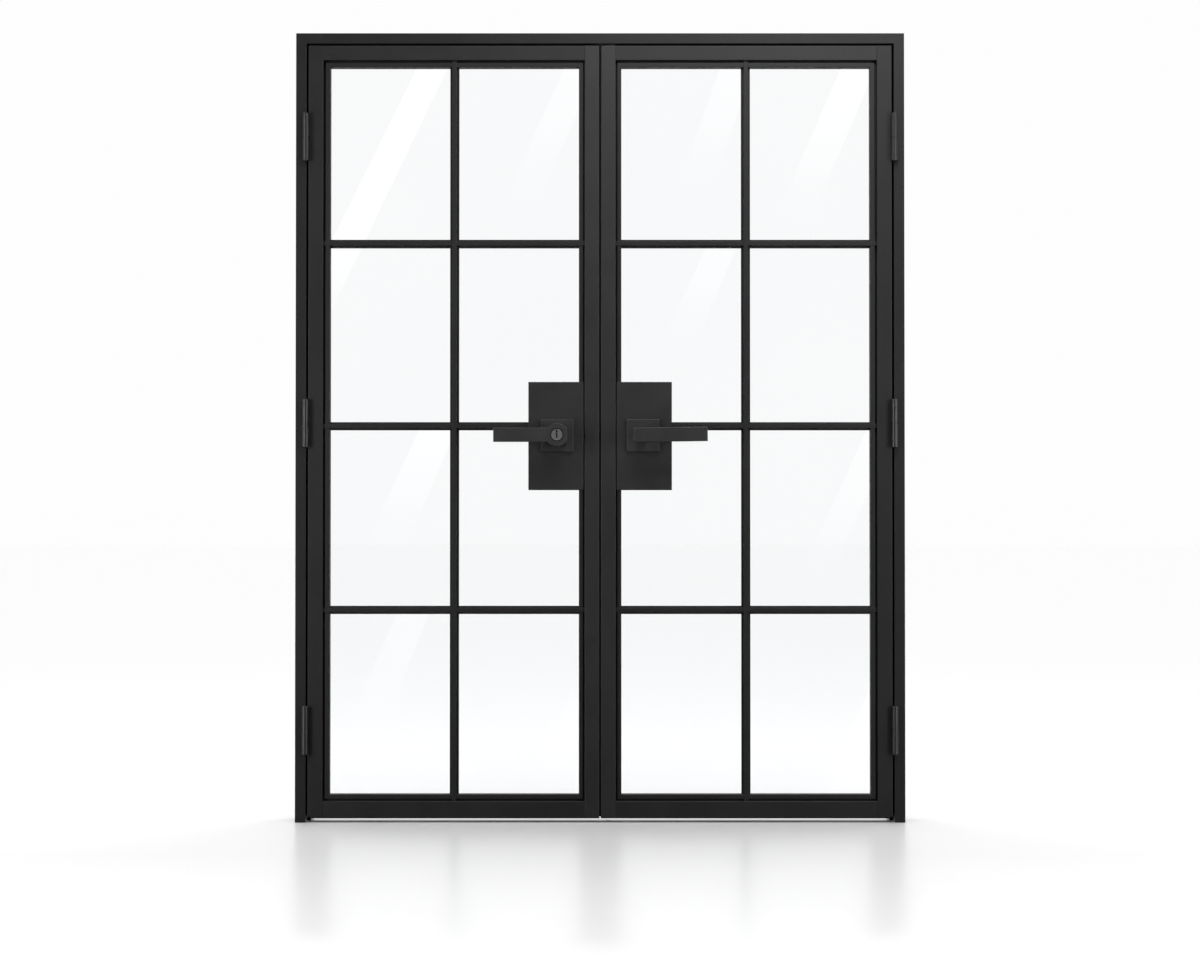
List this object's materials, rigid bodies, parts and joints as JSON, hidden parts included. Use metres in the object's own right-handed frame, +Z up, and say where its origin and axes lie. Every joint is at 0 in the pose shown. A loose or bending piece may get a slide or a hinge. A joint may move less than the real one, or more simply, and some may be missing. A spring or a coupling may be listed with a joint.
{
  "type": "pair of french doors with frame",
  "caption": "Pair of glazed steel french doors in a thin steel frame, each leaf two panes wide and four high, with square lock boxes, bar levers and barrel hinges.",
  "frame": {"origin": "middle of the threshold's underside, at the leaves' middle plane", "axes": "+Z up, +X to the right seen from the front, the front (hinge barrels, pull side) faces -Y"},
  "size_m": [1.5904, 0.168, 2.061],
  "materials": {
    "frame_paint": "satin powder coat",
    "leaf_paint": "satin powder coat",
    "hardware_paint": "fine satin black",
    "hinge_paint": "satin black",
    "threshold_metal": "mill finish",
    "seal_rubber": "matt",
    "pane_glass": "clear",
    "zinc_steel": "zinc plated",
    "satin_steel": "satin",
    "key_metal": "satin",
    "cylinder_black": "black",
    "black_nylon": "matt",
    "black_screws": "black"
  },
  "bodies": {
    "frame": {"left_jamb": "frame_paint", "right_jamb": "frame_paint", "head_jamb": "frame_paint", "threshold": "threshold_metal", "frame_seal": "seal_rubber", "frame_hinge_halves": "hinge_paint", "hinge_pins": "zinc_steel", "hinge_washers": "black_nylon", "head_keeper": "zinc_steel"},
    "left_levers": {"left_outside_lever": "hardware_paint", "left_inside_lever": "hardware_paint", "left_spindle": "zinc_steel", "cylinder_housing": "cylinder_black"},
    "key_plug": {"key_plug": "key_metal"},
    "turn_button": {"turn_button": "key_metal"},
    "latch_retractor": {"latch_retractor": "zinc_steel"},
    "latch": {"latch_bolt": "satin_steel"},
    "right_levers": {"right_outside_lever": "hardware_paint", "right_inside_lever": "hardware_paint", "right_spindle": "zinc_steel"},
    "top_bolt": {"top_shoot_bolt": "zinc_steel"},
    "bottom_bolt": {"bottom_shoot_bolt": "zinc_steel"},
    "left_leaf": {"faceplate_screws": "satin_steel", "latch_case": "cylinder_black", "latch_faceplate": "satin_steel", "left_bead_screws": "black_screws", "left_bottom_rail": "leaf_paint", "left_bottom_sweep": "seal_rubber", "left_cross_bars": "leaf_paint", "left_glass_panes": "pane_glass", "left_glazing_beads": "leaf_paint", "left_glazing_stops": "leaf_paint", "left_hinge_stile": "leaf_paint", "left_inside_rose": "hardware_paint", "left_leaf_hinge_halves": "hinge_paint", "left_lock_box": "leaf_paint", "left_lock_stile": "leaf_paint", "left_outside_rose": "hardware_paint", "left_top_rail": "leaf_paint", "left_vertical_bar": "leaf_paint"},
    "right_leaf": {"gearbox_case": "zinc_steel", "meeting_seal": "seal_rubber", "right_bead_screws": "black_screws", "right_bottom_rail": "leaf_paint", "right_bottom_sweep": "seal_rubber", "right_cross_bars": "leaf_paint", "right_glass_panes": "pane_glass", "right_glazing_beads": "leaf_paint", "right_glazing_stops": "leaf_paint", "right_hinge_stile": "leaf_paint", "right_inside_rose": "hardware_paint", "right_leaf_hinge_halves": "hinge_paint", "right_lock_box": "leaf_paint", "right_lock_stile": "leaf_paint", "right_outside_rose": "hardware_paint", "right_top_rail": "leaf_paint", "right_vertical_bar": "leaf_paint", "rod_guides": "black_nylon", "strike_plate": "satin_steel", "strike_screws": "satin_steel"}
  },
  "joints": [
    {"name": "left_leaf_swing", "type": "hinge", "parent": "frame", "child": "left_leaf", "pos_m": [-0.768, -0.0285, 0], "axis": [0, 0, -1], "range_deg": [0, 170]},
    {"name": "right_leaf_swing", "type": "hinge", "parent": "frame", "child": "right_leaf", "pos_m": [0.768, -0.0285, 0], "axis": [0, 0, 1], "range_deg": [0, 170]},
    {"name": "left_lever_turn", "type": "hinge", "parent": "left_leaf", "child": "left_levers", "pos_m": [-0.112, 0, 1.008], "axis": [0, -1, 0], "range_deg": [0, 45], "stiffness_Nm_per_rad": 1.6, "springref_deg": -51.57},
    {"name": "retractor_slide", "type": "slide", "parent": "left_leaf", "child": "latch_retractor", "axis": [-1, 0, 0], "range_m": [0, 0.0127]},
    {"name": "key_turn", "type": "hinge", "parent": "left_levers", "child": "key_plug", "pos_m": [-0.112, -0.06, 1.008], "axis": [0, 1, 0], "range_deg": [0, 90]},
    {"name": "turn_button_turn", "type": "hinge", "parent": "left_levers", "child": "turn_button", "pos_m": [-0.112, 0.078, 1.008], "axis": [0, -1, 0], "range_deg": [0, 90]},
    {"name": "latch_throw", "type": "slide", "parent": "latch_retractor", "child": "latch", "axis": [1, 0, 0], "range_m": [0, 0.0127]},
    {"name": "right_lever_turn", "type": "hinge", "parent": "right_leaf", "child": "right_levers", "pos_m": [0.112, 0, 1.008], "axis": [0, -1, 0], "range_deg": [0, 45]},
    {"name": "top_bolt_slide", "type": "slide", "parent": "right_leaf", "child": "top_bolt", "axis": [0, 0, 1], "range_m": [0, 0.014]},
    {"name": "bottom_bolt_slide", "type": "slide", "parent": "right_leaf", "child": "bottom_bolt", "axis": [0, 0, -1], "range_m": [0, 0.014]}
  ],
  "couplings": [
    {"joint": "retractor_slide", "follows": "left_lever_turn", "m_per_rad": 0.01617},
    {"joint": "turn_button_turn", "follows": "latch_throw", "rad_per_m": 123.68},
    {"joint": "top_bolt_slide", "follows": "right_lever_turn", "m_per_rad": 0.017825},
    {"joint": "bottom_bolt_slide", "follows": "right_lever_turn", "m_per_rad": 0.017825}
  ]
}
